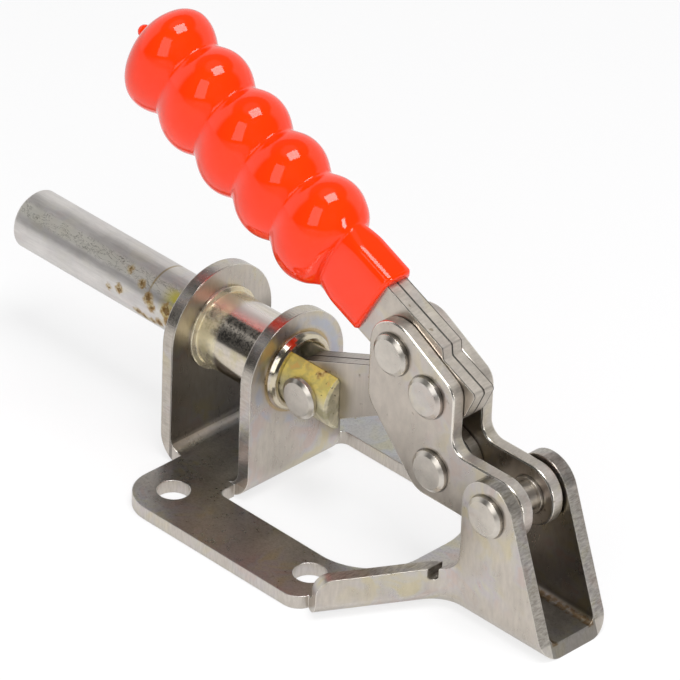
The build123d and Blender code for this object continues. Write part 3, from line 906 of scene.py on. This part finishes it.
def plain_mesh_from(group, name, values):
    """Evaluates a geometry tree with the given inputs and keeps the result as a plain mesh object."""
    carrier = new_object(name + "_source", bpy.data.meshes.new(name + "_source"))
    modifier = carrier.modifiers.new(name, "NODES")
    modifier.node_group = group
    for item in group.interface.items_tree:
        if item.item_type == "SOCKET" and item.in_out == "INPUT" and item.name in values:
            modifier[item.identifier] = values[item.name]
    bpy.context.view_layer.update()
    graph = bpy.context.evaluated_depsgraph_get()
    data = bpy.data.meshes.new_from_object(carrier.evaluated_get(graph), depsgraph=graph)
    data.name = name
    bpy.data.objects.remove(carrier)
    piece = new_object(name, data)
    if not data.polygons:
        raise RuntimeError(name + " came out empty")
    mesh = bmesh.new()
    mesh.from_mesh(data)
    bmesh.ops.recalc_face_normals(mesh, faces=mesh.faces)
    mesh.to_mesh(data)
    mesh.free()
    return piece


def make_grip_material(colour):
    """Glossy dipped plastic: one deep colour, a clear skin and faint ripples."""
    material, tree, shader, coords = new_material("grip_plastic")
    cloud = tree.noise(coords, 120.0)
    deep = tuple(c * 0.93 for c in colour) + (1,)
    tree.feed(shader.inputs["Base Color"], tree.mix(tree.smooth(cloud, 0.3, 0.7), deep, tuple(colour) + (1,)))
    tree.feed(shader.inputs["Roughness"], 0.04 + tree.noise(coords, 700.0) * 0.05)
    shader.inputs["IOR"].default_value = 1.44
    ripple = tree.noise(coords, 180.0)
    bump = tree.add("ShaderNodeBump", inputs={"Strength": 0.35, "Distance": 0.05 * MM, "Height": ripple})
    tree.feed(shader.inputs["Normal"], bump.outputs["Normal"])
    return material


class CLAMP_OT_grip(bpy.types.Operator):
    """Make the dipped bubble grip"""
    bl_idname = "clamp.grip"
    bl_label = "Bubble grip"

    def execute(self, context):
        grip = context.scene.clamp_grip
        material = make_grip_material(grip.colour)
        values = {label(name): getattr(grip, name) for name in GRIP_SIZES}
        values |= {"Bulges": grip.bulges, "Material": material}
        piece = plain_mesh_from(make_grip_tree(), "bubble_grip", values)
        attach(piece, BODY_OF["grip"])
        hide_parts("grip")
        return {"FINISHED"}


# ---- stage

def camera_axes(stage):
    """Right, up and back directions of the camera."""
    a, e, roll = stage.azimuth, stage.elevation, stage.roll
    back = Vector((cos(a) * cos(e), sin(a) * cos(e), sin(e)))
    right = Vector((0, 0, 1)).cross(back).normalized()
    up = back.cross(right)
    return right * cos(roll) + up * sin(roll), up * cos(roll) - right * sin(roll), back


def area_lamp(name, towards, aim, distance, size, power):
    """Rectangular lamp that faces a point from a direction."""
    data = bpy.data.lights.new(name, "AREA")
    data.shape, data.size, data.size_y, data.energy = "RECTANGLE", size[0], size[1], power
    lamp = new_object(name, data)
    lamp.location = Vector(aim) + Vector(towards).normalized() * distance
    lamp.rotation_euler = Vector(towards).to_track_quat("Z", "Y").to_euler()
    return lamp


def make_world(stage):
    """Even white to the camera. Mirrors see a white backdrop behind the part, a ceiling and a dim room."""
    world = bpy.data.worlds.new("studio")
    bpy.context.scene.world = world
    world.use_nodes = True
    tree = Tree(world.node_tree)
    world.node_tree.nodes.clear()
    direction = tree.add("ShaderNodeTexCoord").outputs["Generated"]
    x, y, z = tree.parts(direction)
    away = Vector((-cos(stage.azimuth), -sin(stage.azimuth)))
    behind = x * away.x + y * away.y
    sweep = tree.smooth(behind, -0.10, 0.20) * tree.fall(z, 0.60, 0.72)
    ceiling = tree.smooth(z, 0.86, 0.97) * 0.55
    room = 0.07 + tree.smooth(behind, -0.2, 0.6) * 0.10
    mirror = tree.math("MAXIMUM", tree.math("MAXIMUM", sweep * 0.9, ceiling), room)
    rays = tree.add("ShaderNodeLightPath").outputs
    lit = tree.pick(tree.num(rays["Is Glossy Ray"]), stage.room, mirror)
    strength = tree.pick(tree.num(rays["Is Camera Ray"]), lit, 1.0)
    background = tree.add("ShaderNodeBackground", inputs={"Color": (1, 1, 1, 1), "Strength": strength})
    output = tree.add("ShaderNodeOutputWorld")
    tree.feed(output.inputs["Surface"], background.outputs["Background"])


def make_floor_material(stage):
    """Pale floor that keeps white behind the part and goes dark in mirrors toward the camera."""
    material, tree, shader, coords = new_material("pale_floor")
    shader.inputs["Base Color"].default_value = (0.92, 0.92, 0.93, 1)
    shader.inputs["Roughness"].default_value = 0.6
    x, y, _ = tree.parts(coords)
    nearer = x * cos(stage.azimuth) + y * sin(stage.azimuth)
    table = tree.smooth(nearer, 0.13, 0.24, 1.0, 0.12)
    rays = tree.add("ShaderNodeLightPath").outputs
    seen, mirrored = tree.num(rays["Is Camera Ray"]), tree.num(rays["Is Glossy Ray"])
    level = tree.pick(mirrored, 1.0, table * 0.8)
    glow = tree.add("ShaderNodeEmission", inputs={"Color": (1, 1, 1, 1), "Strength": level})
    mixed = tree.add("ShaderNodeMixShader", inputs={"Fac": 0.25 + seen * 0.45 + mirrored * 0.35})
    tree.feed(mixed.inputs[1], shader.outputs[0])
    tree.feed(mixed.inputs[2], glow.outputs[0])
    tree.feed(material.node_tree.nodes["Material Output"].inputs["Surface"], mixed.outputs[0])
    return material


def make_floor(stage):
    """Square floor just under the part."""
    mesh = bmesh.new()
    bmesh.ops.create_grid(mesh, x_segments=1, y_segments=1, size=stage.floor_size / 2)
    data = bpy.data.meshes.new("floor")
    mesh.to_mesh(data)
    mesh.free()
    floor = new_object("floor", data)
    floor.location = (0, 0, CAD_BOX[0][2] - 0.05 * MM)
    data.materials.append(make_floor_material(stage))
    return floor


def make_camera(stage):
    """Long lens at the stage's azimuth, elevation and roll, looking at its aim."""
    right, up, back = camera_axes(stage)
    data = bpy.data.cameras.new("camera")
    data.sensor_width = 36.0
    data.lens = stage.lens
    data.clip_end = 20.0
    camera = new_object("camera", data)
    camera.matrix_world = Matrix.Translation(Vector(stage.aim) + back * stage.distance) @ Matrix(
        (right, up, back)).transposed().to_4x4()
    bpy.context.scene.camera = camera


class CLAMP_OT_stage(bpy.types.Operator):
    """Set the floor, the lamps, the world and the camera"""
    bl_idname = "clamp.stage"
    bl_label = "Studio"

    def execute(self, context):
        stage = context.scene.clamp_stage
        floor = make_floor(stage)
        aim = stage.aim
        area_lamp("overhead", (-0.25, 0.05, 1.0), aim, distance=0.7, size=(0.40, 0.30), power=stage.lamp)
        area_lamp("window_right", (-0.985, -0.137, 0.16), aim, distance=0.6, size=(0.12, 0.12), power=0.55)
        area_lamp("window_left", (-0.15, 0.90, 0.42), aim, distance=0.7, size=(0.34, 0.50), power=1.0)
        fill = area_lamp("fill", camera_axes(stage)[2], aim, distance=1.0, size=(0.9, 0.9), power=stage.fill)
        fill.visible_glossy = False
        make_camera(stage)
        make_world(stage)
        context.scene.view_settings.view_transform = "Standard"
        return {"FINISHED"}


# ---- panel and registration

STEPS = ("effects", "sheet", "guide", "pins", "grip", "stage")


class CLAMP_PT_panel(bpy.types.Panel):
    """Lists the clamp's pieces and their settings"""
    bl_idname = "CLAMP_PT_panel"
    bl_label = "Toggle Clamp"
    bl_space_type = "VIEW_3D"
    bl_region_type = "UI"
    bl_category = "Toggle Clamp"

    def draw(self, context):
        for step in STEPS:
            self.layout.operator("clamp." + step)
        for settings in (context.scene.clamp_steel, context.scene.clamp_grip, context.scene.clamp_stage):
            box = self.layout.box()
            for name in settings.bl_rna.properties.keys():
                if name not in ("rna_type", "name"):
                    box.prop(settings, name)


CLASSES = (ClampSteelSettings, ClampGripSettings, ClampStageSettings, CLAMP_OT_effects, CLAMP_OT_sheet,
           CLAMP_OT_guide, CLAMP_OT_pins, CLAMP_OT_grip, CLAMP_OT_stage, CLAMP_PT_panel)


def register():
    for cls in CLASSES:
        bpy.utils.register_class(cls)
    bpy.types.Scene.clamp_steel = PointerProperty(type=ClampSteelSettings)
    bpy.types.Scene.clamp_grip = PointerProperty(type=ClampGripSettings)
    bpy.types.Scene.clamp_stage = PointerProperty(type=ClampStageSettings)


def unregister():
    del bpy.types.Scene.clamp_steel, bpy.types.Scene.clamp_grip, bpy.types.Scene.clamp_stage
    for cls in reversed(CLASSES):
        bpy.utils.unregister_class(cls)


def main():
    register()
    for step in STEPS:
        getattr(bpy.ops.clamp, step)()


if __name__ == "__main__":
    main()
